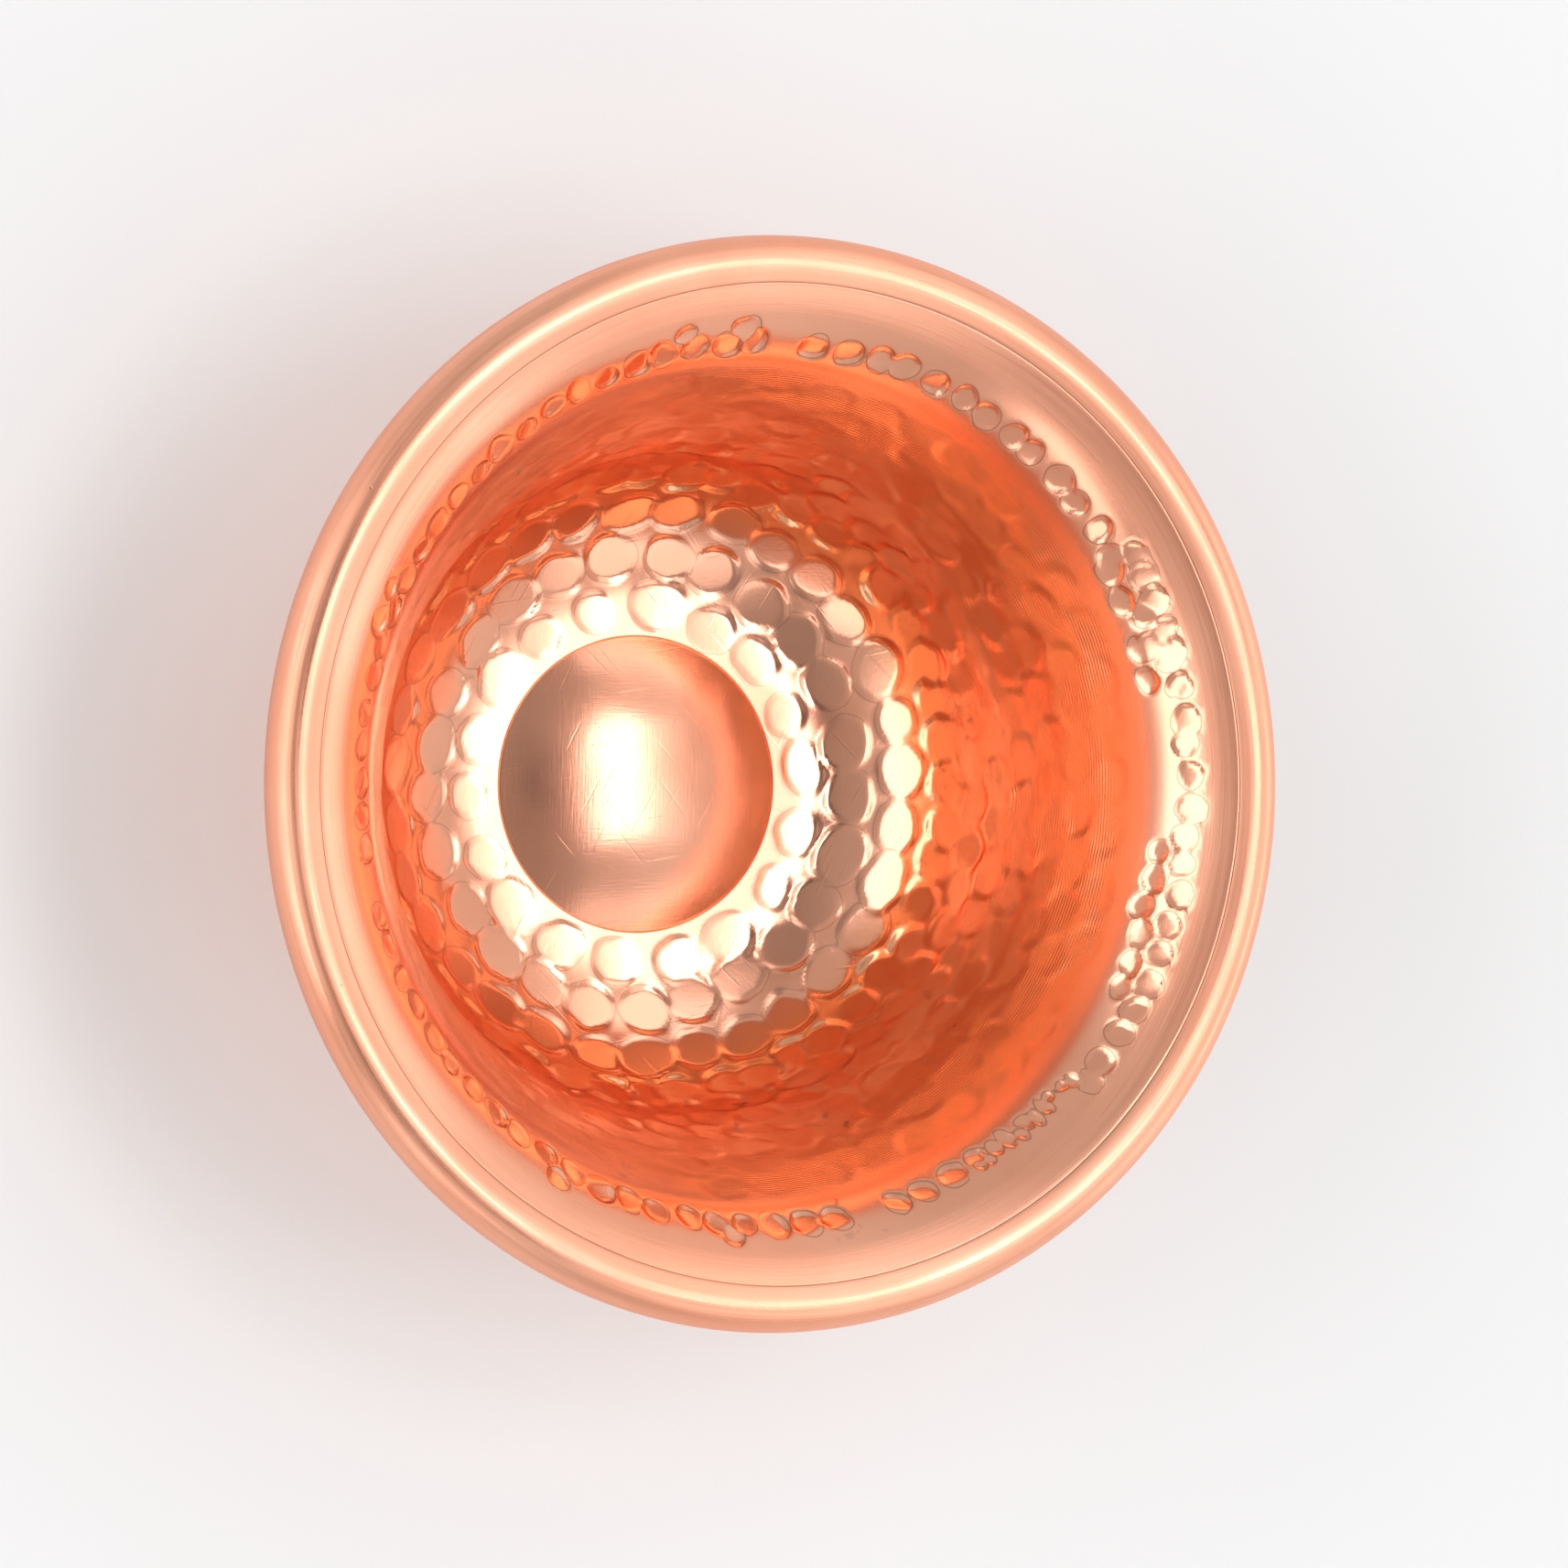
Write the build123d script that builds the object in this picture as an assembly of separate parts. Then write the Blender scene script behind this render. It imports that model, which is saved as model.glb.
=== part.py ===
from build123d import *
import math
import os

# Offering bowl of raised copper sheet with a wired edge.
# Millimetres, +Z up, origin at the centre of the ring it stands on.

# Overall sizes
rim_diameter = 90.0          # over the outside of the bead
overall_height = 35.0        # standing ring to the top of the bead
sheet = 1.0                  # thickness of the copper sheet

# Rolled edge and the wire inside it
bead_diameter = 4.6          # rolled edge, outside
wire_clearance = 0.1         # between the wire and the inside of the roll
curl_gap = 0.3               # left between the raw edge and the flare above it
wire_butt_gap = 0.8          # between the two ends of the wire hoop

# Bottom
boss_radius = 12.4           # smooth dome in the middle of the floor
boss_rise = 2.0              # height of the dome over its own edge
boss_edge_radius = 1.5       # bend where the dome meets the standing ring
standing_width = 2.15        # flat ring the bowl rests on

# Side, written as shares of the reach from the standing ring to the bead
heel_share = 0.49            # radius of the bend from floor to wall
flare_share = 0.49           # radius of the trumpet below the bead
wall_share = 2.17            # radius of the slow outward sweep of the wall
flare_angle = 20.0           # slope of the flare where it runs into the bead

# Worked out from the sizes above
half_sheet = sheet / 2
bead_radius = bead_diameter / 2
curl_radius = bead_radius - half_sheet
wire_radius = bead_radius - sheet - wire_clearance
hoop_radius = rim_diameter / 2 - bead_radius
bead_height = overall_height - bead_radius
dome_radius = (boss_radius**2 + boss_rise**2) / (2 * boss_rise)
dome_slope = math.degrees(math.asin(boss_radius / dome_radius))
standing_radius = boss_radius + boss_edge_radius * math.sin(math.radians(dome_slope)) + standing_width
reach = hoop_radius - standing_radius
heel_radius = heel_share * reach
flare_radius = flare_share * reach
wall_radius = wall_share * reach


def left_of(heading):
    """Unit vector square to a heading, on its left hand: the inside of the bowl."""
    angle = math.radians(heading)
    return Vector(-math.sin(angle), math.cos(angle))


def heading_across(vector):
    """Heading whose left hand points along the vector."""
    return math.degrees(math.atan2(-vector.X, vector.Y))


# Centres of the three bends of the side, each tangent to the next
bead_centre = Vector(hoop_radius, bead_height)
heel_centre = Vector(standing_radius, half_sheet + heel_radius)
flare_centre = bead_centre - left_of(flare_angle) * (flare_radius - curl_radius)
span = flare_centre - heel_centre
from_heel = wall_radius + heel_radius
from_flare = wall_radius - flare_radius
along = (span.length**2 + from_heel**2 - from_flare**2) / (2 * span.length)
aside = math.sqrt(from_heel**2 - along**2)
forward = span.normalized()
wall_centre = heel_centre + forward * along + Vector(forward.Y, -forward.X) * aside
wall_start = heading_across(heel_centre - wall_centre)
wall_end = heading_across(flare_centre - wall_centre)

# The raw edge stops short of the underside of the flare
curl_left = math.degrees(math.acos((bead_radius - sheet - curl_gap) / bead_radius))
curl_end = flare_angle - (360 - curl_left)

# Bends of the sheet from the middle of the floor out to the raw edge:
# centre of the bend, radius in the middle of the sheet, first and last heading
dome_centre = Vector(0, half_sheet + boss_edge_radius * (1 - math.cos(math.radians(dome_slope)))
                     + boss_rise - dome_radius)
edge_centre = Vector(standing_radius - standing_width, half_sheet + boss_edge_radius)
bends = [
    (dome_centre, dome_radius, 0, -dome_slope),
    (edge_centre, boss_edge_radius, -dome_slope, 0),
    (heel_centre, heel_radius, 0, wall_start),
    (wall_centre, wall_radius, wall_start, wall_end),
    (flare_centre, flare_radius, wall_end, flare_angle),
    (bead_centre, curl_radius, flare_angle, curl_end),
]


def face_of_sheet(offset):
    """Chain of arcs and flats along one face of the sheet, offset to the left of its middle."""
    chain = []
    for centre, radius, first, last in bends:
        side = 1 if last < first else -1
        reach_out = side * radius + offset
        points = [
            centre + left_of(first + (last - first) * share) * reach_out
            for share in (0, 0.5, 1)
        ]
        if chain and (points[0] - chain[-1].position_at(1)).length > wire_clearance / 100:
            chain.append(Line(chain[-1].position_at(1), points[0]))
        chain.append(ThreePointArc(*points))
    return chain


def turned(section, angle=360):
    """Solid swept by a flat section of radius and height about the bowl's axis."""
    return revolve(Plane.XZ * section, Axis.Z, angle)


# Bowl: one sheet, raised, flared and rolled over at the edge
inside = face_of_sheet(half_sheet)
outside = face_of_sheet(-half_sheet)
raw_edge = Line(inside[-1].position_at(1), outside[-1].position_at(1))
on_axis = Line(inside[0].position_at(0), outside[0].position_at(0))
bowl_shell = turned(make_face(inside + outside + [raw_edge, on_axis]))

# Wire hoop with butted ends, lying inside the rolled edge
butt_angle = math.degrees(wire_butt_gap / hoop_radius)
rim_wire = turned(Pos(bead_centre.X, bead_centre.Y) * Circle(wire_radius), 360 - butt_angle)

os.makedirs("parts", exist_ok=True)
for name, solid in {"bowl_shell": bowl_shell, "rim_wire": rim_wire}.items():
    solid.label = name
    export_step(solid, f"parts/{name}.step")
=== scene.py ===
import math

import bpy
from mathutils import Matrix, Vector


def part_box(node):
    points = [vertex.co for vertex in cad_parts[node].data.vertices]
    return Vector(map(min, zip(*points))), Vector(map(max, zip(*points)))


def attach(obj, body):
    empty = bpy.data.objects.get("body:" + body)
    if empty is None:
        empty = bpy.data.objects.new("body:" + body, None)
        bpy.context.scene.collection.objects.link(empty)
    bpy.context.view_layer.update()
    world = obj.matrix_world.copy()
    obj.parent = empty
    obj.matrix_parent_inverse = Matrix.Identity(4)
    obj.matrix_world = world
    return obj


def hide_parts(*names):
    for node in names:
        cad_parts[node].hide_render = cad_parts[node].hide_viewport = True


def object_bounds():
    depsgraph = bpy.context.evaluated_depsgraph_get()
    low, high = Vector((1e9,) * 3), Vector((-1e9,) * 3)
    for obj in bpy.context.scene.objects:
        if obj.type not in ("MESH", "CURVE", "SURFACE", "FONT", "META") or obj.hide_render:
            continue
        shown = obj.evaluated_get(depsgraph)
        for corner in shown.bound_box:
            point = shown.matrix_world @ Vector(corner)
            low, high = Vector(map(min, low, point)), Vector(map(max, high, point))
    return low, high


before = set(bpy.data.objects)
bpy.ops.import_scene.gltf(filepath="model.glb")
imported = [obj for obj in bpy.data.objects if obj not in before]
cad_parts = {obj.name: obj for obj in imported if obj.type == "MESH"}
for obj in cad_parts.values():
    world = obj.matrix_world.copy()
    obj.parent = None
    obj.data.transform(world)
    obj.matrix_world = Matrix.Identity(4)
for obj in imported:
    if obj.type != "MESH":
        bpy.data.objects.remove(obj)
cad_low, cad_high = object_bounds()

# Sizes of the bowl, the same as in its solids
mm = 0.001
shell_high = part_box("bowl_shell")[1]
rim_radius = shell_high.x
overall_height = shell_high.z
sheet = 1.0 * mm
bead_diameter = 4.6 * mm
curl_gap = 0.3 * mm
boss_radius = 12.4 * mm
boss_rise = 2.0 * mm
boss_edge_radius = 1.5 * mm
standing_width = 2.15 * mm
heel_share = 0.49
flare_share = 0.49
wall_share = 2.17
flare_angle = 20.0

# Line scribed round the flare with a point
scribe_radius = 41.0 * mm
scribe_width = 0.16 * mm
scribe_depth = 0.05 * mm

# Worked out from the sizes above
half_sheet = sheet / 2
bead_radius = bead_diameter / 2
curl_radius = bead_radius - half_sheet
hoop_radius = rim_radius - bead_radius
bead_height = overall_height - bead_radius
dome_radius = (boss_radius**2 + boss_rise**2) / (2 * boss_rise)
dome_slope = math.degrees(math.asin(boss_radius / dome_radius))
standing_radius = boss_radius + boss_edge_radius * math.sin(math.radians(dome_slope)) + standing_width
reach = hoop_radius - standing_radius
heel_radius = heel_share * reach
flare_radius = flare_share * reach
wall_radius = wall_share * reach


# The sheet, as a line of tangent bends

def left_of(heading):
    """Unit vector square to a heading, on its left hand: the inside of the bowl."""
    angle = math.radians(heading)
    return Vector((-math.sin(angle), math.cos(angle)))


def heading_across(vector):
    """Heading whose left hand points along the vector."""
    return math.degrees(math.atan2(-vector.x, vector.y))


def bends_of_the_sheet():
    """Centre, radius in the middle of the sheet, first and last heading of each bend."""
    bead_centre = Vector((hoop_radius, bead_height))
    heel_centre = Vector((standing_radius, half_sheet + heel_radius))
    flare_centre = bead_centre - left_of(flare_angle) * (flare_radius - curl_radius)
    span = flare_centre - heel_centre
    from_heel = wall_radius + heel_radius
    from_flare = wall_radius - flare_radius
    along = (span.length**2 + from_heel**2 - from_flare**2) / (2 * span.length)
    aside = math.sqrt(from_heel**2 - along**2)
    forward = span.normalized()
    wall_centre = heel_centre + forward * along + Vector((forward.y, -forward.x)) * aside
    wall_start = heading_across(heel_centre - wall_centre)
    wall_end = heading_across(flare_centre - wall_centre)
    edge_drop = boss_edge_radius * (1 - math.cos(math.radians(dome_slope)))
    dome_centre = Vector((0, half_sheet + edge_drop + boss_rise - dome_radius))
    edge_centre = Vector((standing_radius - standing_width, half_sheet + boss_edge_radius))
    curl_left = math.degrees(math.acos((bead_radius - sheet - curl_gap) / bead_radius))
    return (
        (dome_centre, dome_radius, 0, -dome_slope),
        (edge_centre, boss_edge_radius, -dome_slope, 0),
        (heel_centre, heel_radius, 0, wall_start),
        (wall_centre, wall_radius, wall_start, wall_end),
        (flare_centre, flare_radius, wall_end, flare_angle),
        (bead_centre, curl_radius, flare_angle, flare_angle - (360 - curl_left)),
    )


def trace_face(offset, spacing=0.05 * mm):
    """Points of radius and height along one face of the sheet, from the axis to the raw edge."""
    points = []
    for centre, radius, first, last in bends_of_the_sheet():
        side = 1 if last < first else -1
        reach_out = side * radius + offset
        turn = math.radians(abs(last - first))
        steps = max(4, math.ceil(abs(reach_out) * turn / spacing))
        for step in range(steps + 1):
            point = centre + left_of(first + (last - first) * step / steps) * reach_out
            if not points or (point - points[-1]).length > spacing / 50:
                points.append(point)
    return points


def distances_along(points):
    """Distance of each point from the first, measured along the line."""
    total = [0.0]
    for before, after in zip(points, points[1:]):
        total.append(total[-1] + (after - before).length)
    return total


def point_at(points, distances, distance):
    """Point of the line at a distance along it."""
    low = 0
    high = len(points) - 1
    while high - low > 1:
        middle = (low + high) // 2
        if distances[middle] <= distance:
            low = middle
        else:
            high = middle
    share = (distance - distances[low]) / (distances[high] - distances[low])
    return points[low].lerp(points[high], share)


inside_line = trace_face(half_sheet)
inside_distances = distances_along(inside_line)
outside_line = trace_face(-half_sheet)
outside_distances = distances_along(outside_line)
inside_length = inside_distances[-1]
outside_length = outside_distances[-1]


def first_reach(line, distances, radius):
    """Distance along a line at which it first reaches a radius."""
    for point, distance in zip(line, distances):
        if point.x >= radius:
            return distance
    raise ValueError("the bowl doesn't reach that far")


def out_to(radius):
    """Distance along the inside of the bowl to a radius."""
    return first_reach(inside_line, inside_distances, radius)


def under_to(radius):
    """Distance along the outside of the bowl to a radius."""
    return first_reach(outside_line, outside_distances, radius)


# Where each part of the inside ends, as distances along it
boss_end = out_to(boss_radius + 0.35 * mm)
floor_end = out_to(25.6 * mm)
wall_start = out_to(27.5 * mm)
wall_end = out_to(33.8 * mm)
neck_end = out_to(38.4 * mm)
scribe_at = out_to(scribe_radius)
bead_start = out_to(hoop_radius - bead_radius * math.sin(math.radians(flare_angle)))
bead_turn_in_sight = math.radians(200)
bead_under = bead_start + bead_radius * bead_turn_in_sight


# Smooth bowl, before it is hammered

def ring_places():
    """Distance on the path over the whole section, radius, height and points of each ring."""
    places = []

    def stretch(line, distances, start, end, spacing, count, base, way):
        """Rings along one stretch of a face of the sheet."""
        rings = max(1, round(abs(end - start) / spacing))
        for ring in range(rings):
            distance = start + (end - start) * (ring + 0.5) / rings
            point = point_at(line, distances, distance)
            places.append((base + way * distance, point.x, point.y, count))

    # Start and end of each stretch, spacing of its rings and points in a ring
    inside = (
        (0.0, boss_end - 0.5 * mm, 0.60 * mm, 192),
        (boss_end - 0.5 * mm, boss_end + 0.3 * mm, 0.08 * mm, 384),
        (boss_end + 0.3 * mm, floor_end, 0.29 * mm, 384),
        (floor_end, wall_end, 0.40 * mm, 512),
        (wall_end, neck_end, 0.29 * mm, 768),
        (neck_end, scribe_at - scribe_width, 0.40 * mm, 256),
        (scribe_at - scribe_width, scribe_at + scribe_width, scribe_width / 3, 256),
        (scribe_at + scribe_width, bead_start, 0.40 * mm, 256),
        (bead_start, bead_under, 0.44 * mm, 256),
        (bead_under, inside_length, 0.60 * mm, 192),
    )
    for start, end, spacing, count in inside:
        stretch(inside_line, inside_distances, start, end, spacing, count, 0.0, 1)
    base = inside_length + sheet + outside_length
    curl_start = under_to(hoop_radius - curl_radius)
    outside = (
        (outside_length, curl_start, 0.80 * mm, 192),
        (curl_start, under_to(standing_radius), 1.20 * mm, 256),
        (under_to(standing_radius), 0.0, 1.10 * mm, 192),
    )
    for start, end, spacing, count in outside:
        stretch(outside_line, outside_distances, start, end, spacing, count, base, -1)
    return places


def stitch(inner, outer):
    """Faces between two rings of points, quads where the rings have as many points."""
    if len(inner) == len(outer):
        count = len(inner)
        return [
            (inner[i], outer[i], outer[(i + 1) % count], inner[(i + 1) % count])
            for i in range(count)
        ]
    faces = []
    i = 0
    j = 0
    while i < len(inner) or j < len(outer):
        if j == len(outer) or (i < len(inner) and (i + 1) * len(outer) <= (j + 1) * len(inner)):
            faces.append((inner[i % len(inner)], outer[j % len(outer)], inner[(i + 1) % len(inner)]))
            i += 1
        else:
            faces.append((inner[i % len(inner)], outer[j % len(outer)], outer[(j + 1) % len(outer)]))
            j += 1
    return faces


def smooth_bowl():
    """Mesh of the turned bowl, its points marked with their distance over the section in mm."""
    top = inside_line[0]
    bottom = outside_line[0]
    points = [(0.0, 0.0, top.y)]
    marked = [0.0]
    rings = [[0]]
    for distance, radius, height, count in ring_places():
        off = abs(distance - scribe_at)
        if off < scribe_width:
            height -= scribe_depth * (1 - off / scribe_width)
        ring = []
        for step in range(count):
            angle = 2 * math.pi * step / count
            across = min(max(radius * math.cos(angle), cad_low.x), cad_high.x)
            deep = min(max(radius * math.sin(angle), cad_low.y), cad_high.y)
            ring.append(len(points))
            points.append((across, deep, height))
            marked.append(distance / mm)
        rings.append(ring)
    rings.append([len(points)])
    points.append((0.0, 0.0, bottom.y))
    marked.append((inside_length + sheet + outside_length) / mm)
    faces = []
    for inner, outer in zip(rings, rings[1:]):
        if len(inner) == 1:
            faces += [(inner[0], a, b) for a, b in zip(outer, outer[1:] + outer[:1])]
        elif len(outer) == 1:
            faces += [(a, outer[0], b) for a, b in zip(inner, inner[1:] + inner[:1])]
        else:
            faces += stitch(inner, outer)
    mesh = bpy.data.meshes.new("smooth_bowl")
    mesh.from_pydata(points, [], faces)
    mesh.attributes.new("along", "FLOAT", "POINT").data.foreach_set("value", marked)
    mesh.shade_smooth()
    mesh.update()
    bowl = bpy.data.objects.new("smooth_bowl", mesh)
    bpy.context.scene.collection.objects.link(bowl)
    return bowl


def inside_guide():
    """Curve along the inside of the bowl, in the plane of X and Z, for the blows to follow."""
    curve = bpy.data.curves.new("inside_guide", "CURVE")
    curve.dimensions = "3D"
    spline = curve.splines.new("POLY")
    spline.points.add(len(inside_line) - 1)
    for place, point in zip(spline.points, inside_line):
        place.co = (point.x, 0.0, point.y, 1.0)
    guide = bpy.data.objects.new("inside_guide", curve)
    bpy.context.scene.collection.objects.link(guide)
    return guide


# Helpers for node trees

def plug(sockets, name):
    """First socket in use with that name, or the socket with that number."""
    if isinstance(name, int):
        return sockets[name]
    for socket in sockets:
        if socket.name == name and socket.enabled:
            return socket
    raise KeyError(name)


def add(tree, kind, feeds=None, **settings):
    """New node, its settings set, then its inputs linked or given a value."""
    node = tree.nodes.new(kind)
    for name, value in settings.items():
        setattr(node, name, value)
    for name, value in (feeds or {}).items():
        socket = plug(node.inputs, name)
        if isinstance(value, bpy.types.NodeSocket):
            tree.links.new(value, socket)
        else:
            socket.default_value = value
    return node


def sum_up(tree, operation, *values):
    """Result of a sum on numbers or fields."""
    return add(tree, "ShaderNodeMath", dict(enumerate(values)), operation=operation).outputs[0]


def times(tree, *values):
    """Product of numbers or fields."""
    product = values[0]
    for value in values[1:]:
        product = sum_up(tree, "MULTIPLY", product, value)
    return product


def plus(tree, *values):
    """Total of numbers or fields."""
    total = values[0]
    for value in values[1:]:
        total = sum_up(tree, "ADD", total, value)
    return total


def scaled(tree, value, factor, base):
    """Number or field times a factor, added to a base."""
    return sum_up(tree, "MULTIPLY_ADD", value, factor, base)


def reckon(tree, operation, *values):
    """Result of a sum on vectors, the last value a scale where the sum is a scaling."""
    feeds = dict(enumerate(values))
    if operation == "SCALE":
        feeds = {0: values[0], "Scale": values[1]}
    answer = "Value" if operation == "DOT_PRODUCT" else "Vector"
    return add(tree, "ShaderNodeVectorMath", feeds, operation=operation).outputs[answer]


def ramp(tree, value, start, end, low=0.0, high=1.0):
    """Smooth step of a value from low to high between start and end."""
    feeds = {"Value": value, "From Min": start, "From Max": end, "To Min": low, "To Max": high}
    return add(tree, "ShaderNodeMapRange", feeds, interpolation_type="SMOOTHSTEP").outputs["Result"]


def band(tree, value, start, end, soft):
    """One between start and end, nought outside, with soft borders."""
    rise = ramp(tree, value, start - soft, start + soft)
    fall = ramp(tree, value, end - soft, end + soft, 1.0, 0.0)
    return times(tree, rise, fall)


# Hammering: half the width of a mark, its depth in the middle, the width of its shoulder and
# the radius of the hammer's face, on the floor, up the wall and round the neck
blow_sizes = {
    "Sheet": sheet,
    "Floor Size": 2.38 * mm,
    "Floor Depth": 0.055 * mm,
    "Floor Shoulder": 0.45 * mm,
    "Floor Face": 60.0 * mm,
    "Wall Size": 2.30 * mm,
    "Wall Depth": 0.075 * mm,
    "Wall Shoulder": 0.55 * mm,
    "Wall Face": 90.0 * mm,
    "Neck Size": 1.40 * mm,
    "Neck Depth": 0.15 * mm,
    "Neck Shoulder": 0.30 * mm,
    "Neck Face": 22.0 * mm,
    "Wander": 0.8 * mm,
}


def course_of_blows():
    """Node group that sets one course of blows round the inside of the bowl, as points."""
    tree = bpy.data.node_groups.new("course_of_blows", "GeometryNodeTree")
    sizes = (
        ("Guide", "NodeSocketGeometry", None),
        ("Distance", "NodeSocketFloat", 0.02),
        ("Blows", "NodeSocketInt", 20),
        ("First", "NodeSocketInt", 0),
        ("Every", "NodeSocketInt", 1),
        ("From", "NodeSocketFloat", 0.0),
        ("To", "NodeSocketFloat", 2 * math.pi),
        ("Stray Around", "NodeSocketFloat", 0.1),
        ("Stray Along", "NodeSocketFloat", 0.0003),
        ("Tilt", "NodeSocketFloat", 0.05),
        ("Least", "NodeSocketFloat", 0.8),
        ("Most", "NodeSocketFloat", 1.0),
        ("Oval", "NodeSocketFloat", 0.6),
        ("Askew", "NodeSocketFloat", 0.0),
        ("Missing", "NodeSocketFloat", 0.0),
        ("Seed", "NodeSocketInt", 1),
    )
    for label, kind, value in sizes:
        socket = tree.interface.new_socket(label, in_out="INPUT", socket_type=kind)
        if value is not None:
            socket.default_value = value
    tree.interface.new_socket("Blows", in_out="OUTPUT", socket_type="NodeSocketGeometry")
    given = add(tree, "NodeGroupInput").outputs

    def drawn(least, most, shift):
        """Random number for each blow."""
        seed = plus(tree, given["Seed"], shift)
        return add(tree, "FunctionNodeRandomValue", {"Min": least, "Max": most, "Seed": seed},
                   data_type="FLOAT").outputs["Value"]

    def stray(most, shift):
        """Random number for each blow, as often below nought as above."""
        return times(tree, drawn(-1.0, 1.0, shift), most)

    index = add(tree, "GeometryNodeInputIndex").outputs["Index"]
    number = scaled(tree, index, given["Every"], given["First"])
    place = plus(tree, number, stray(given["Stray Around"], 11))
    share = sum_up(tree, "DIVIDE", place, given["Blows"])
    arc = sum_up(tree, "SUBTRACT", given["To"], given["From"])
    turn = scaled(tree, share, arc, given["From"])
    distance = plus(tree, given["Distance"], stray(given["Stray Along"], 23))
    sampled = add(tree, "GeometryNodeSampleCurve", {"Curves": given["Guide"], "Length": distance},
                  mode="LENGTH").outputs
    square = reckon(tree, "CROSS_PRODUCT", (0.0, -1.0, 0.0), sampled["Tangent"])
    lean = add(tree, "ShaderNodeCombineXYZ",
               {"X": stray(given["Tilt"], 37),
                "Y": stray(given["Tilt"], 41),
                "Z": stray(given["Tilt"], 43)}).outputs[0]
    facing = reckon(tree, "NORMALIZE", reckon(tree, "ADD", square, lean))
    askew = plus(tree, given["Askew"], stray(0.5, 61))
    askew = reckon(tree, "SCALE", sampled["Tangent"], askew)
    long_way = reckon(tree, "NORMALIZE", reckon(tree, "ADD", (0.0, 1.0, 0.0), askew))
    oval = drawn(times(tree, given["Oval"], 0.5), given["Oval"], 67)
    long_way = reckon(tree, "SCALE", long_way, oval)
    left = sum_up(tree, "SUBTRACT", given["Blows"], given["First"])
    count = sum_up(tree, "CEIL", sum_up(tree, "DIVIDE", left, given["Every"]))

    def turned(vector):
        """Vector at the first place of the course, carried round to each blow."""
        return add(tree, "ShaderNodeVectorRotate", {"Vector": vector, "Angle": turn},
                   rotation_type="Z_AXIS").outputs[0]

    blows = add(tree, "GeometryNodePoints",
                {"Count": count, "Position": turned(sampled["Position"])}).outputs[0]
    kept_with_each = (
        ("facing", turned(facing), "FLOAT_VECTOR"),
        ("long_way", turned(long_way), "FLOAT_VECTOR"),
        ("weight", drawn(given["Least"], given["Most"], 47), "FLOAT"),
    )
    for label, value, kind in kept_with_each:
        blows = add(tree, "GeometryNodeStoreNamedAttribute",
                    {"Geometry": blows, "Name": label, "Value": value},
                    data_type=kind, domain="POINT").outputs[0]
    seed = plus(tree, given["Seed"], 51)
    gone = add(tree, "FunctionNodeRandomValue", {"Probability": given["Missing"], "Seed": seed},
               data_type="BOOLEAN")
    kept = add(tree, "GeometryNodeDeleteGeometry",
               {"Geometry": blows, "Selection": gone.outputs[3]}, domain="POINT")
    add(tree, "NodeGroupOutput", {"Blows": kept.outputs["Geometry"]})
    return tree


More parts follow.
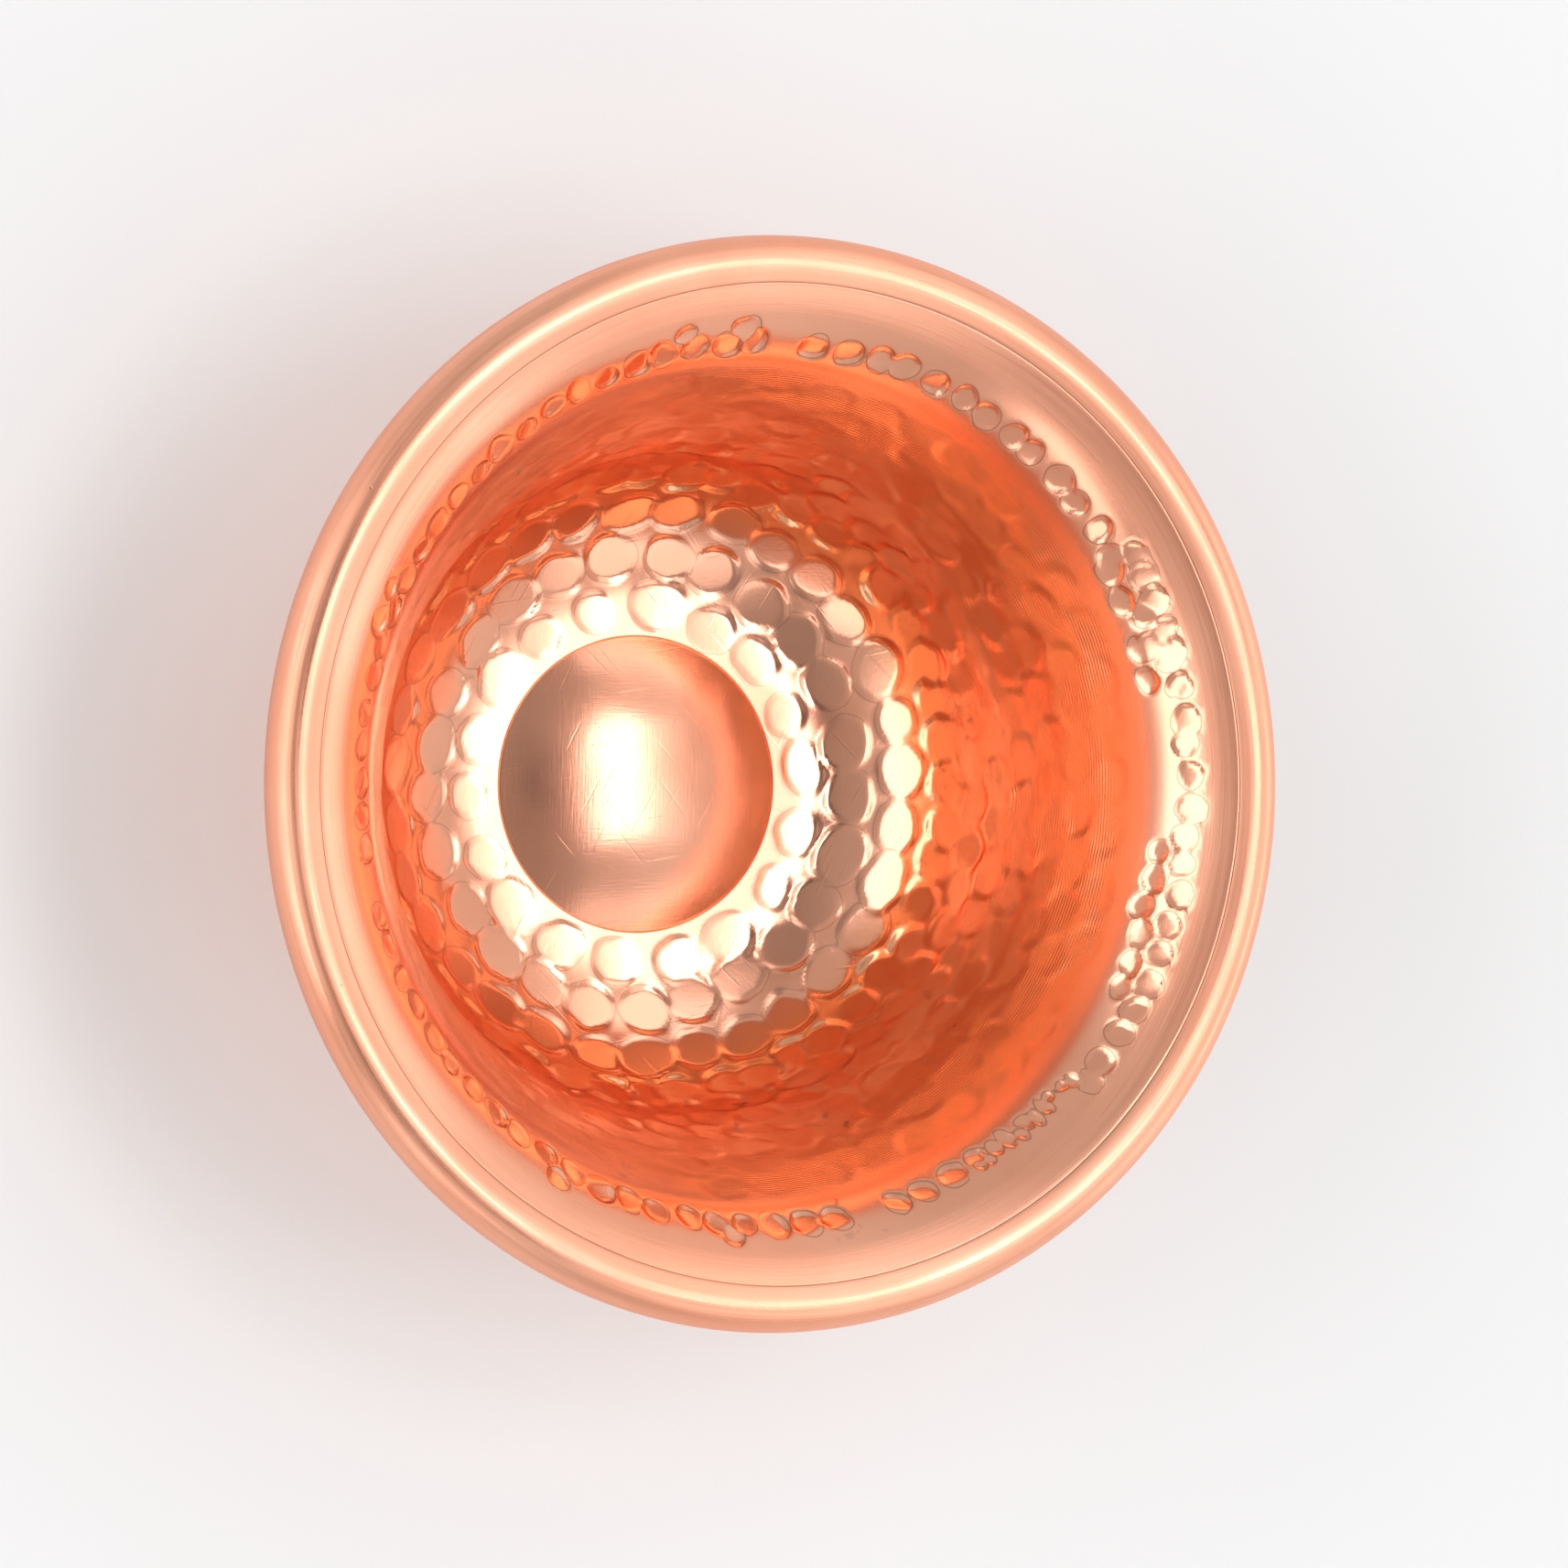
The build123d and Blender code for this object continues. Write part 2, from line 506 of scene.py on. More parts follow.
def hammering():
    """Node tree that dents the smooth bowl under courses of blows."""
    course = course_of_blows()
    tree = bpy.data.node_groups.new("hammering", "GeometryNodeTree")
    tree.interface.new_socket("Bowl", in_out="INPUT", socket_type="NodeSocketGeometry")
    tree.interface.new_socket("Guide", in_out="INPUT", socket_type="NodeSocketObject")
    tree.interface.new_socket("Inside Finish", in_out="INPUT", socket_type="NodeSocketMaterial")
    tree.interface.new_socket("Outside Finish", in_out="INPUT", socket_type="NodeSocketMaterial")
    tree.interface.new_socket("Seed", in_out="INPUT", socket_type="NodeSocketInt")
    for label in blow_sizes:
        tree.interface.new_socket(label, in_out="INPUT", socket_type="NodeSocketFloat")
    tree.interface.new_socket("Bowl", in_out="OUTPUT", socket_type="NodeSocketGeometry")
    given = add(tree, "NodeGroupInput").outputs
    guide = add(tree, "GeometryNodeObjectInfo", {"Object": given["Guide"]}).outputs["Geometry"]

    def courses(rows, shift, first=0, every=1):
        """Blows of several courses, or of every so many blows in them."""
        joined = add(tree, "GeometryNodeJoinGeometry")
        for row, sizes in enumerate(rows):
            seed = plus(tree, given["Seed"], shift + 10 * row + first)
            struck_row = add(tree, "GeometryNodeGroup", node_tree=course)
            feeds = {"Guide": guide, "First": first, "Every": every, "Seed": seed, **sizes}
            for label, value in feeds.items():
                if isinstance(value, bpy.types.NodeSocket):
                    tree.links.new(value, struck_row.inputs[label])
                else:
                    struck_row.inputs[label].default_value = value
            tree.links.new(struck_row.outputs[0], joined.inputs[0])
        return joined.outputs[0]

    def kept(label, kind):
        """Attribute kept with each point."""
        return add(tree, "GeometryNodeInputNamedAttribute", {"Name": label}, data_type=kind).outputs[0]

    # The inside is struck as it stands, the outside shows the same blows through the sheet
    along = kept("along", "FLOAT")
    outside = ramp(tree, along, inside_length / mm, (inside_length + sheet) / mm)
    normal = add(tree, "GeometryNodeInputNormal").outputs[0]
    position = add(tree, "GeometryNodeInputPosition").outputs[0]
    through = times(tree, outside, given["Sheet"], -1.0)
    struck = reckon(tree, "ADD", position, reckon(tree, "SCALE", normal, through))
    shake = add(tree, "ShaderNodeTexNoise",
                {"Vector": struck, "Scale": 380.0, "Detail": 1.0}).outputs["Color"]
    shake = reckon(tree, "SUBTRACT", shake, (0.5, 0.5, 0.5))
    wandered = reckon(tree, "ADD", struck, reckon(tree, "SCALE", shake, given["Wander"]))

    def marks_of(blows, family):
        """How far a place lies inside the nearest mark, and how far that hammer face sinks there."""
        index = add(tree, "GeometryNodeSampleNearest", {"Geometry": blows, "Sample Position": wandered},
                    domain="POINT").outputs[0]

        def of_nearest(value, kind):
            """Value kept with the nearest blow."""
            feeds = {"Geometry": blows, "Value": value, "Index": index}
            return add(tree, "GeometryNodeSampleIndex", feeds, data_type=kind, domain="POINT").outputs[0]

        centre = of_nearest(position, "FLOAT_VECTOR")
        facing = of_nearest(kept("facing", "FLOAT_VECTOR"), "FLOAT_VECTOR")
        long_way = of_nearest(kept("long_way", "FLOAT_VECTOR"), "FLOAT_VECTOR")
        weight = of_nearest(kept("weight", "FLOAT"), "FLOAT")
        rise = reckon(tree, "DOT_PRODUCT", reckon(tree, "SUBTRACT", struck, centre), facing)
        off = reckon(tree, "SUBTRACT", wandered, centre)
        lengthwise = reckon(tree, "DOT_PRODUCT", off, long_way)
        whole = reckon(tree, "DOT_PRODUCT", off, off)
        square = sum_up(tree, "SUBTRACT", whole, times(tree, lengthwise, lengthwise))
        aside = sum_up(tree, "SQRT", square)
        size = times(tree, given[family + " Size"], weight)
        within = sum_up(tree, "SUBTRACT", size, aside)
        hollow = sum_up(tree, "DIVIDE", square, given[family + " Face"])
        middle = plus(tree, rise, given[family + " Depth"])
        sunk = scaled(tree, hollow, -0.5, middle)
        return within, sum_up(tree, "MAXIMUM", sunk, 0.0)

    def beaten(early, late, family):
        """Marks and dents where late blows cut into the marks of early ones."""
        early_marks, early_sunk = early
        late_marks, late_sunk = late
        shoulder = given[family + " Shoulder"]
        late_share = ramp(tree, late_marks, 0.0, shoulder)
        early_dent = times(tree, ramp(tree, early_marks, 0.0, shoulder), early_sunk)
        fresh = sum_up(tree, "SUBTRACT", late_sunk, early_dent)
        dent = scaled(tree, fresh, late_share, early_dent)
        clear = times(tree, late_marks, -1.0)
        left = sum_up(tree, "MINIMUM", early_marks, clear)
        return sum_up(tree, "MAXIMUM", late_marks, left), dent

    def twice_round(rows, shift, family):
        """Courses struck at every other place, then at the places between."""
        early = marks_of(courses(rows, shift, 0, 2), family)
        late = marks_of(courses(rows, shift, 1, 2), family)
        return beaten(early, late, family)

    def row_at(distance, blows, start, end, **others):
        """Sizes of one course, from one angle to another in degrees."""
        sizes = {label.replace("_", " ").title(): value for label, value in others.items()}
        arc = {"From": math.radians(start), "To": math.radians(end)}
        return {"Distance": distance, "Blows": blows, **arc, **sizes}

    # Radius in mm, number of blows, first angle, least weight and tilt of each course on the floor
    floor_courses = (
        (15.3, 18, 4, 0.74, 0.02),
        (19.4, 25, 11, 0.88, 0.035),
        (23.4, 31, 2, 0.86, 0.045),
    )
    floor_rows = tuple(
        row_at(out_to(radius * mm), blows, turn, turn + 360, stray_around=0.10, stray_along=0.35 * mm,
               tilt=tilt, least=least, oval=0.68)
        for radius, blows, turn, least, tilt in floor_courses
    )
    floor_marks, floor_dent = twice_round(floor_rows, 100, "Floor")

    # Courses up the wall, each second one set on by half a blow
    wall_count = 7
    wall_blows = 46
    half_blow = 3.9
    wall_from = out_to(26.3 * mm)
    wall_step = (wall_end - 1.5 * mm - wall_from) / (wall_count - 1)
    wall_rows = []
    for row in range(wall_count):
        turn = half_blow * (row % 2)
        wall_rows.append(row_at(wall_from + row * wall_step, wall_blows, turn, turn + 360, stray_around=0.16,
                                stray_along=0.5 * mm, tilt=0.10 - 0.006 * row, least=0.85, oval=0.6))
    wall_dent = twice_round(wall_rows, 200, "Wall")[1]

    # Round the neck: the main course, strays above it, two courses at the right, radial strokes
    neck_rows = (
        row_at(out_to(36.2 * mm), 66, 19, 305, stray_around=0.12, stray_along=0.25 * mm, tilt=0.14,
               least=0.80, oval=0.7, askew=4.0, missing=0.04),
        row_at(out_to(37.5 * mm), 64, 0, 277, stray_around=0.20, stray_along=0.30 * mm, tilt=0.08,
               least=0.70, oval=0.5, missing=0.86),
        row_at(out_to(37.4 * mm), 19, -42, 32, stray_around=0.12, stray_along=0.35 * mm, tilt=0.09,
               least=0.85, oval=0.5, askew=2.0, missing=0.05),
        row_at(out_to(35.7 * mm), 19, -40, 34, stray_around=0.15, stray_along=0.40 * mm, tilt=0.08,
               least=0.75, oval=0.5, missing=0.45),
        row_at(out_to(36.3 * mm), 11, -60, -41, stray_around=0.15, stray_along=0.50 * mm, tilt=0.10,
               least=0.38, most=0.55, oval=0.88, askew=5.0),
    )
    neck_marks, neck_sunk = marks_of(courses(neck_rows, 300), "Neck")
    neck_dent = times(tree, ramp(tree, neck_marks, 0.0, given["Neck Shoulder"]), neck_sunk)

    # The blows grow lighter up the wall, and there are none on the boss or past the neck
    lighter = ramp(tree, along, wall_start / mm, (wall_end - 2 * mm) / mm, 1.0, 0.50)
    wall_dent = times(tree, wall_dent, lighter)
    marks = sum_up(tree, "MAXIMUM", floor_marks, neck_marks)
    dent = sum_up(tree, "MAXIMUM", floor_dent, neck_dent)
    dent = sum_up(tree, "MAXIMUM", dent, wall_dent)
    on_inside = ramp(tree, along, (neck_end + 1 * mm) / mm, (neck_end + 2 * mm) / mm, 1.0, 0.0)
    off_boss = ramp(tree, along, boss_end / mm - 0.7, boss_end / mm)
    inward = times(tree, dent, on_inside, off_boss)

    # Low swellings on the outside, none on the ring that the bowl stands on
    whole = (inside_length + sheet + outside_length) / mm
    swell_end = whole - (under_to(standing_radius) + 4 * mm) / mm
    swell_start = whole - (under_to(27.0 * mm) + 9 * mm) / mm
    on_outside = band(tree, along, swell_start, swell_end, 3.0)
    swell = add(tree, "GeometryNodeBlurAttribute", {"Value": dent, "Iterations": 1},
                data_type="FLOAT").outputs["Value"]
    swell_gain = 2.0
    move = sum_up(tree, "SUBTRACT", times(tree, swell, swell_gain, on_outside), inward)
    offset = reckon(tree, "SCALE", normal, move)

    # How far each place lies inside a mark goes to the finishes, in mm, and none of it outside
    mark = scaled(tree, outside, -10.0, sum_up(tree, "DIVIDE", marks, mm))
    marked = add(tree, "GeometryNodeStoreNamedAttribute",
                 {"Geometry": given["Bowl"], "Name": "mark", "Value": mark},
                 data_type="FLOAT", domain="POINT").outputs[0]
    dented = add(tree, "GeometryNodeSetPosition", {"Geometry": marked, "Offset": offset}).outputs[0]
    real = add(tree, "GeometryNodeRealizeInstances", {"Geometry": dented}).outputs[0]
    clad = add(tree, "GeometryNodeSetMaterial",
               {"Geometry": real, "Material": given["Inside Finish"]}).outputs[0]
    past_line = sum_up(tree, "GREATER_THAN", along, scribe_at / mm)
    clad = add(tree, "GeometryNodeSetMaterial",
               {"Geometry": clad, "Selection": past_line, "Material": given["Outside Finish"]}).outputs[0]
    add(tree, "NodeGroupOutput", {"Bowl": clad})
    return tree


def hammered(bowl, guide, inside_finish, outside_finish):
    """Plain mesh of the bowl after its hammering."""
    tree = hammering()
    modifier = bowl.modifiers.new("hammering", "NODES")
    modifier.node_group = tree
    given = {"Guide": guide, "Inside Finish": inside_finish, "Outside Finish": outside_finish, "Seed": 7}
    given.update(blow_sizes)
    sockets = {item.name: item.identifier for item in tree.interface.items_tree if item.in_out == "INPUT"}
    for label, value in given.items():
        modifier[sockets[label]] = value
    settled = bowl.evaluated_get(bpy.context.evaluated_depsgraph_get())
    mesh = bpy.data.meshes.new_from_object(settled)
    mesh.name = "hammered_bowl"
    finished = bpy.data.objects.new("hammered_bowl", mesh)
    bpy.context.scene.collection.objects.link(finished)
    bowl.modifiers.remove(modifier)
    bpy.data.objects.remove(bowl)
    bpy.data.objects.remove(guide)
    return finished


# Finishes

bright_copper = (0.97, 0.46, 0.305, 1)
deep_copper = (0.95, 0.41, 0.26, 1)
warm_copper = (0.96, 0.43, 0.21, 1)
# Darker copper of stains and emery lines, also painted shade on the outer side of the bead
stain_and_shade_copper = (0.70, 0.29, 0.19, 1)
# Dark brown of painted shade at the edges of the marks and in the scribed line, with tarnish, and of the
# pits
shade_and_tarnish = (0.30, 0.13, 0.075, 1)
grime = (0.16, 0.11, 0.09, 1)
dull_wire = (0.55, 0.27, 0.17, 1)
clean_wire = (0.80, 0.43, 0.30, 1)

# Pitches of the lines that the work leaves, in mm
polish_pitch = 0.55
emery_pitch = 0.35
turning_pitch = 0.22
chatter_pitch = 0.3

# Fine grain all over: its scale on the bowl and its height in mm
grain_scale = 2600.0
grain_height = 0.0026


def new_finish(name):
    """Empty material with a metal shader, its tree and that shader."""
    finish = bpy.data.materials.new(name)
    finish.use_nodes = True
    tree = finish.node_tree
    tree.nodes.clear()
    metal = add(tree, "ShaderNodeBsdfPrincipled", {"Metallic": 1.0})
    add(tree, "ShaderNodeOutputMaterial", {"Surface": metal.outputs[0]})
    return finish, tree, metal


def blend_colours(tree, share, first, second):
    """Colour between two colours."""
    return add(tree, "ShaderNodeMix", {"Factor": share, "A": first, "B": second},
               data_type="RGBA").outputs[2]


def noise(tree, spot, scale, detail=2.0, roughness=0.5):
    """Cloudy noise at a place, about a half on average."""
    feeds = {"Vector": spot, "Scale": scale, "Detail": detail, "Roughness": roughness}
    return add(tree, "ShaderNodeTexNoise", feeds).outputs["Fac"]


def where_on_bowl(tree):
    """Place on the bowl, and its distance over the section in mm."""
    where = add(tree, "ShaderNodeTexCoord").outputs["Object"]
    along = add(tree, "ShaderNodeAttribute", attribute_name="along").outputs["Fac"]
    return where, along


def lathe_lines(tree, spread, pitch, detail=3.0):
    """Noise drawn out round the bowl: lines of that pitch in mm."""
    where, along = where_on_bowl(tree)
    around = reckon(tree, "NORMALIZE", reckon(tree, "MULTIPLY", where, (1.0, 1.0, 0.0)))
    up = add(tree, "ShaderNodeCombineXYZ", {"Z": sum_up(tree, "DIVIDE", along, pitch)}).outputs[0]
    spot = reckon(tree, "ADD", reckon(tree, "SCALE", around, spread), up)
    return noise(tree, spot, 1.0, detail, 0.6)


def brushed(tree, turn, fine, long, detail=2.0):
    """Noise drawn out in one direction across the bowl, in strokes per metre."""
    where = where_on_bowl(tree)[0]
    turned = add(tree, "ShaderNodeVectorRotate", {"Vector": where, "Angle": math.radians(turn)},
                 rotation_type="Z_AXIS").outputs[0]
    return noise(tree, reckon(tree, "MULTIPLY", turned, (fine, long, long)), 1.0, detail, 0.6)


def copper_colour(tree, lines):
    """Copper with clouds in it and faint lines, darker in the scribed line: painted shade in the groove,
    with some tarnish.
    """
    where, along = where_on_bowl(tree)
    tone = scaled(tree, lines, 0.5, noise(tree, where, 60.0, 4.0))
    colour = blend_colours(tree, ramp(tree, tone, 0.34, 0.66), deep_copper, bright_copper)
    half_line = 0.06
    # Painted shade in the scribed groove, with some tarnish
    scribed = band(tree, along, scribe_at / mm - half_line, scribe_at / mm + half_line, 0.04)
    return blend_colours(tree, times(tree, scribed, 0.75), colour, shade_and_tarnish)


def raise_relief(tree, metal, relief):
    """Relief in mm on a finish, with the fine grain added to it."""
    grain = noise(tree, where_on_bowl(tree)[0], grain_scale, 3.0)
    relief = scaled(tree, grain, grain_height, relief)
    bump = add(tree, "ShaderNodeBump", {"Strength": 1.0, "Distance": mm, "Height": relief})
    tree.links.new(bump.outputs[0], metal.inputs["Normal"])


def hammered_copper():
    """Copper of the inside, polished by the hammer in its marks, with lathe chatter up the wall."""
    finish, tree, metal = new_finish("hammered_copper")
    where, along = where_on_bowl(tree)
    mark = add(tree, "ShaderNodeAttribute", attribute_name="mark").outputs["Fac"]

    # Zones of the inside, by the distance over the section in mm
    boss = ramp(tree, along, boss_end / mm - 0.15, boss_end / mm + 0.05, 1.0, 0.0)
    hollows = band(tree, along, boss_end / mm + 0.5, neck_end / mm - 1.0, 1.0)
    warm = band(tree, along, floor_end / mm - 2.0, wall_end / mm, 2.0)
    wall = band(tree, along, wall_start / mm, wall_end / mm + 0.5, 1.5)
    below_neck = ramp(tree, along, wall_end / mm - 4, wall_end / mm, 1.0, 0.0)
    neck = ramp(tree, along, wall_end / mm, wall_end / mm + 1.5)
    lip = ramp(tree, along, neck_end / mm - 0.5, neck_end / mm + 0.8)
    lines = sum_up(tree, "SUBTRACT", lathe_lines(tree, 1.4, polish_pitch, 4.0), 0.5)
    lines = times(tree, lines, lip)

    # Colour, warmer up the wall, with painted shade at the edge of each mark and dirt left beside the blows
    colour = copper_colour(tree, lines)
    colour = blend_colours(tree, times(tree, warm, 0.75), colour, warm_copper)
    # Painted shade: a dark line round the edge of each mark, stronger round the neck
    outline = band(tree, mark, -0.02, 0.10, 0.05)
    edges = times(tree, outline, scaled(tree, neck, 0.25, 0.30))
    colour = blend_colours(tree, edges, colour, shade_and_tarnish)
    emery = ramp(tree, lathe_lines(tree, 3.0, emery_pitch), 0.60, 0.72)
    colour = blend_colours(tree, times(tree, emery, lip, 0.45), colour, stain_and_shade_copper)
    specks = ramp(tree, noise(tree, where, 520.0, 3.0), 0.60, 0.72)
    patches = ramp(tree, noise(tree, where, 90.0, 1.0), 0.54, 0.66)
    beside = ramp(tree, mark, -0.15, 0.05, 1.0, 0.0)
    dirt = times(tree, specks, patches, beside, hollows, 0.6)
    colour = blend_colours(tree, dirt, colour, grime)
    tree.links.new(colour, metal.inputs["Base Color"])

    # Gloss
    struck = ramp(tree, mark, 0.0, 0.25)
    gloss = scaled(tree, struck, -0.05, 0.22)
    gloss = scaled(tree, wall, 0.03, gloss)
    gloss = scaled(tree, lip, 0.12, gloss)
    gloss = scaled(tree, lines, 0.22, gloss)
    tree.links.new(gloss, metal.inputs["Roughness"])

    # Relief in mm: turning lines on the lip, chatter up the wall, brushing and scratches below
    turning = times(tree, lathe_lines(tree, 2.0, turning_pitch), lip, 0.016)
    ripple = times(tree, along, 2 * math.pi / chatter_pitch)
    ripple = scaled(tree, noise(tree, where, 140.0), 7.0, ripple)
    spells = ramp(tree, lathe_lines(tree, 4.0, 3.5, 2.0), 0.40, 0.62)
    chatter = times(tree, sum_up(tree, "SINE", ripple), spells, wall, 0.008)
    weave = plus(tree, brushed(tree, 0, 5200.0, 420.0), brushed(tree, 90, 5200.0, 420.0))
    weave = times(tree, weave, scaled(tree, boss, 0.0040, 0.0012))
    uneven = times(tree, noise(tree, where, 130.0, 1.0), boss, 0.16)
    strokes = brushed(tree, 28, 3000.0, 160.0, 0.0)
    strokes = sum_up(tree, "MAXIMUM", strokes, brushed(tree, -41, 2600.0, 140.0, 0.0))
    strokes = sum_up(tree, "MAXIMUM", strokes, brushed(tree, 80, 2800.0, 150.0, 0.0))
    scratches = times(tree, ramp(tree, strokes, 0.76, 0.84), below_neck, -0.004)
    raise_relief(tree, metal, plus(tree, turning, chatter, weave, uneven, scratches))
    return finish


def satin_copper():
    """Copper rubbed round with emery on the rolled edge and the outside, stained and pitted."""
    finish, tree, metal = new_finish("satin_copper")
    where, along = where_on_bowl(tree)
    bead = band(tree, along, bead_start / mm, inside_length / mm, 0.4)
    outside = ramp(tree, along, inside_length / mm, (inside_length + sheet) / mm)
    lines = sum_up(tree, "SUBTRACT", lathe_lines(tree, 1.4, polish_pitch, 4.0), 0.5)
    cloud = noise(tree, where, 75.0, 5.0, 0.6)

    # Colour, with stains, painted shade and dark reflection on the outer side of the bead, and the dark
    # bottoms of small pits
    colour = copper_colour(tree, lines)
    stain = times(tree, ramp(tree, cloud, 0.50, 0.70), scaled(tree, outside, 0.30, 0.12))
    colour = blend_colours(tree, stain, colour, stain_and_shade_copper)
    # Painted shade: the outer, lower side of the bead darkened, standing in for a dark reflection
    bead_shade = ramp(tree, along, bead_start / mm + 2.8, bead_start / mm + 4.6)
    bead_shade = times(tree, bead_shade, bead, 0.45)
    emery = ramp(tree, lathe_lines(tree, 3.0, emery_pitch), 0.58, 0.72, 0.0, 0.45)
    colour = blend_colours(tree, sum_up(tree, "MAXIMUM", bead_shade, emery), colour, stain_and_shade_copper)
    cells = add(tree, "ShaderNodeTexVoronoi", {"Vector": where, "Scale": 330.0}).outputs
    lot = add(tree, "ShaderNodeSeparateXYZ", {0: cells["Color"]}).outputs["X"]
    pits = ramp(tree, cells["Distance"], 0.02, 0.06, 1.0, 0.0)
    pits = times(tree, pits, ramp(tree, lot, 0.80, 0.82))
    colour = blend_colours(tree, times(tree, pits, 0.6), colour, shade_and_tarnish)
    tree.links.new(colour, metal.inputs["Base Color"])

    # Gloss, drawn out across the rubbing
    gloss = scaled(tree, bead, -0.01, 0.28)
    gloss = scaled(tree, lines, scaled(tree, bead, 0.50, 0.20), gloss)
    gloss = scaled(tree, cloud, 0.16, gloss)
    tree.links.new(gloss, metal.inputs["Roughness"])
    metal.inputs["Anisotropic"].default_value = 0.6
    metal.inputs["Anisotropic Rotation"].default_value = 0.25
    tangent = add(tree, "ShaderNodeTangent", direction_type="RADIAL", axis="Z")
    tree.links.new(tangent.outputs[0], metal.inputs["Tangent"])

    # Relief in mm: turning lines, shallower on the outside, and pits
    turning = lathe_lines(tree, 2.0, turning_pitch)
    turning = times(tree, turning, scaled(tree, outside, -0.004, 0.014))
    raise_relief(tree, metal, scaled(tree, pits, -0.02, turning))
    return finish


def drawn_wire():
    """Copper wire as it comes from the draw plate, dulled inside the roll."""
    finish, tree, metal = new_finish("drawn_wire")
    where = add(tree, "ShaderNodeTexCoord").outputs["Object"]
    cloud = noise(tree, where, 300.0, 4.0)
    colour = blend_colours(tree, ramp(tree, cloud, 0.3, 0.7), dull_wire, clean_wire)
    tree.links.new(colour, metal.inputs["Base Color"])
    tree.links.new(ramp(tree, cloud, 0.2, 0.8, 0.28, 0.45), metal.inputs["Roughness"])
    bump = add(tree, "ShaderNodeBump", {"Strength": 0.4, "Distance": 0.01 * mm, "Height": cloud})
    tree.links.new(bump.outputs[0], metal.inputs["Normal"])
    return finish


# Bowl and wire

bowl = hammered(smooth_bowl(), inside_guide(), hammered_copper(), satin_copper())
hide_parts("bowl_shell")
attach(bowl, "root")

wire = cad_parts["rim_wire"]
wire.data.materials.clear()
wire.data.materials.append(drawn_wire())


# Studio: a pale tent with a darker roof, lit through its sides, on a pale floor

wall_light = 0.61
roof_light = 0.32
far_side_light = 0.25
near_side_light = 0.17
tent_white = (1.0, 1.01, 0.98, 1)
lamp_white = (1.0, 1.0, 1.04)
floor_white = (0.88, 0.88, 0.88, 1)
floor_reach = 4.0
vent_lean = math.radians(4)
vent_rim = math.radians(11)
vent_heart = math.radians(5)
vent_light = 0.4
camera_lean = math.radians(23.6)
camera_distance = 0.6
bowl_middle = Vector((0, 0, bead_height))

# Name, direction from the bowl, distance, width, length, brightness and long way of each lamp
lamps = (
    ("overhead_box", (0.272, 0.04, 1), 0.8, 0.19, 0.42, 4.0, (0, 1, 0)),
    ("overhead_fill", (0.42, 0.02, 1), 0.95, 0.42, 0.55, 0.85, (0, 1, 0)),
    ("front_box", (-0.87, 0.08, 0.50), 0.9, 0.45, 1.15, 2.15, (0, 1, 0)),
    ("back_box", (0.95, -0.10, 0.30), 0.9, 0.30, 0.9, 1.4, (0, 1, 0)),
    ("far_box", (0.36, 0.62, 0.70), 0.9, 0.36, 0.5, 1.15, (1, 0, 0)),
    ("near_box", (0.36, -0.62, 0.70), 0.9, 0.36, 0.5, 0.9, (1, 0, 0)),
    ("neck_box", (-0.40, -0.78, 0.46), 0.9, 0.22, 0.40, 1.6, (1, 0, 0)),
)


def pale_floor():
    """Large pale floor under the bowl."""
    far = floor_reach
    mesh = bpy.data.meshes.new("floor")
    corners = [(-far, -far, 0), (far, -far, 0), (far, far, 0), (-far, far, 0)]
    mesh.from_pydata(corners, [], [(0, 1, 2, 3)])
    paint = bpy.data.materials.new("floor_paint")
    paint.use_nodes = True
    shader = paint.node_tree.nodes["Principled BSDF"]
    shader.inputs["Base Color"].default_value = floor_white
    shader.inputs["Roughness"].default_value = 0.9
    shader.inputs["Specular IOR Level"].default_value = 0.0
    mesh.materials.append(paint)
    floor = bpy.data.objects.new("floor", mesh)
    bpy.context.scene.collection.objects.link(floor)


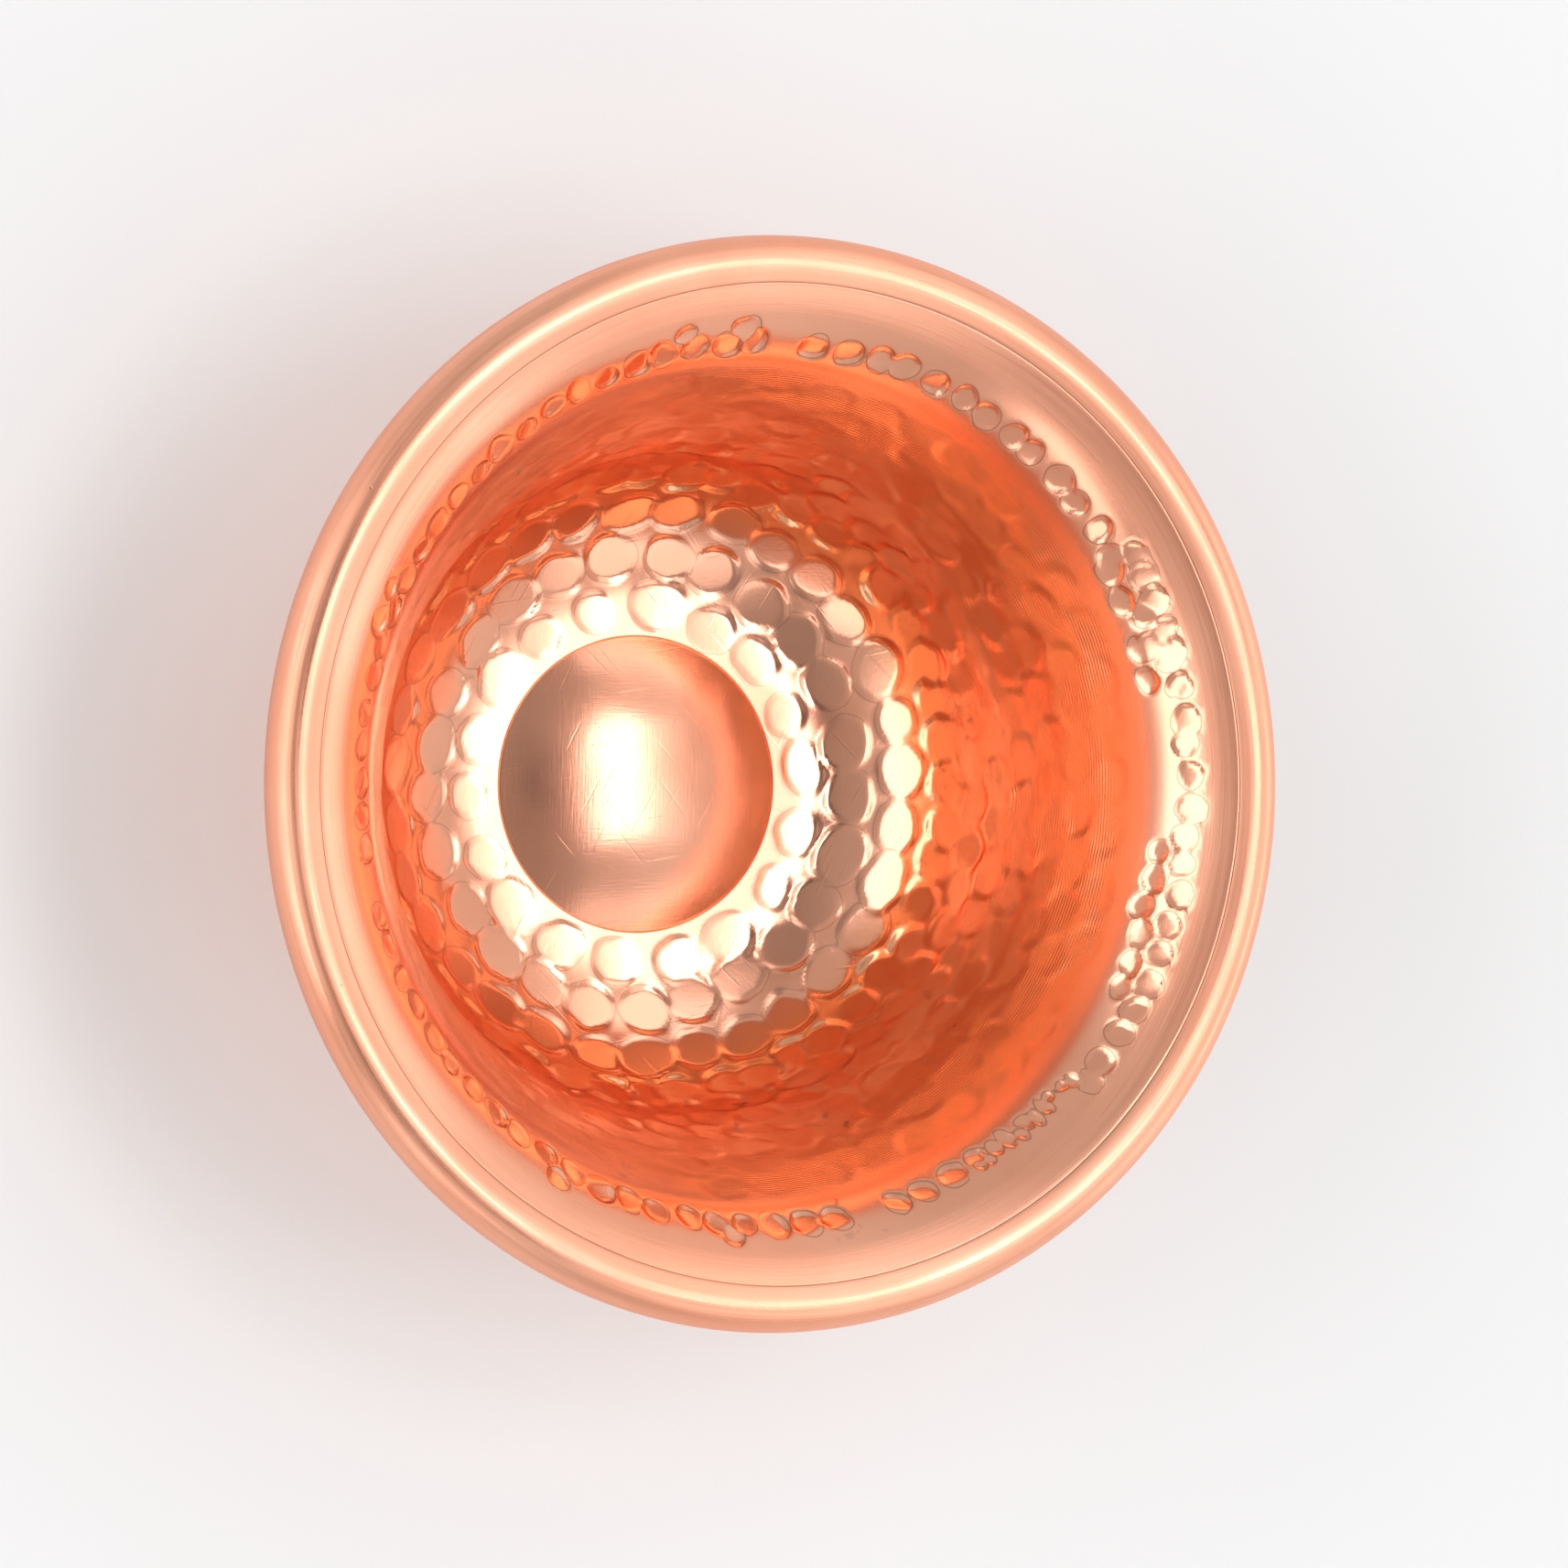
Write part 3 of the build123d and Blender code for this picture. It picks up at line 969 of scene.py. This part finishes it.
def pale_tent():
    """World light: the walls and roof of the tent, more light on two sides, a dark vent in the roof."""
    world = bpy.data.worlds.new("studio")
    world.use_nodes = True
    tree = world.node_tree
    direction = add(tree, "ShaderNodeTexCoord").outputs["Generated"]
    parts = add(tree, "ShaderNodeSeparateXYZ", {0: direction}).outputs
    level = ramp(tree, parts["Z"], 0.45, 0.95, wall_light, roof_light)
    far_side = ramp(tree, parts["X"], -0.1, 0.6, 0.0, far_side_light)
    near_side = ramp(tree, parts["X"], -0.18, -0.31, 0.0, near_side_light)
    near_side = times(tree, near_side, ramp(tree, parts["Z"], 0.60, 0.80))
    level = plus(tree, level, far_side, near_side)
    vent_way = (-math.sin(vent_lean), 0.0, math.cos(vent_lean))
    towards = reckon(tree, "DOT_PRODUCT", direction, vent_way)
    vent = ramp(tree, towards, math.cos(vent_rim), math.cos(vent_heart), 1.0, vent_light)
    shade = tree.nodes["Background"]
    shade.inputs["Color"].default_value = tent_white
    tree.links.new(times(tree, level, vent), shade.inputs["Strength"])
    bpy.context.scene.world = world


def softbox(name, direction, distance, width, length, brightness, long_way):
    """Rectangular lamp facing the bowl from a direction, as bright all over as given."""
    lamp = bpy.data.lights.new(name, "AREA")
    lamp.shape = "RECTANGLE"
    lamp.size = width
    lamp.size_y = length
    lamp.energy = brightness * math.pi * width * length
    lamp.color = lamp_white
    out = Vector(direction).normalized()
    long_side = Vector(long_way)
    long_side = (long_side - out * long_side.dot(out)).normalized()
    wide_side = long_side.cross(out)
    turn = Matrix((wide_side, long_side, out)).transposed().to_4x4()
    box = bpy.data.objects.new(name, lamp)
    box.matrix_world = Matrix.Translation(bowl_middle + out * distance) @ turn
    bpy.context.scene.collection.objects.link(box)


def leaning_camera():
    """Camera tipped over the bowl, so that the standing bowl shows as a leaning one does."""
    lens = bpy.data.cameras.new("camera")
    lens.sensor_width = 36.0
    lens.lens = 168.0
    right = Vector((math.cos(camera_lean), 0, math.sin(camera_lean)))
    up = Vector((0, 1, 0))
    back = Vector((-math.sin(camera_lean), 0, math.cos(camera_lean)))
    turn = Matrix((right, up, back)).transposed().to_4x4()
    camera = bpy.data.objects.new("camera", lens)
    camera.matrix_world = Matrix.Translation(bowl_middle + back * camera_distance) @ turn
    bpy.context.scene.collection.objects.link(camera)
    bpy.context.scene.camera = camera


pale_floor()
pale_tent()
for lamp_sizes in lamps:
    softbox(*lamp_sizes)
leaning_camera()
bpy.context.scene.view_settings.view_transform = "Standard"
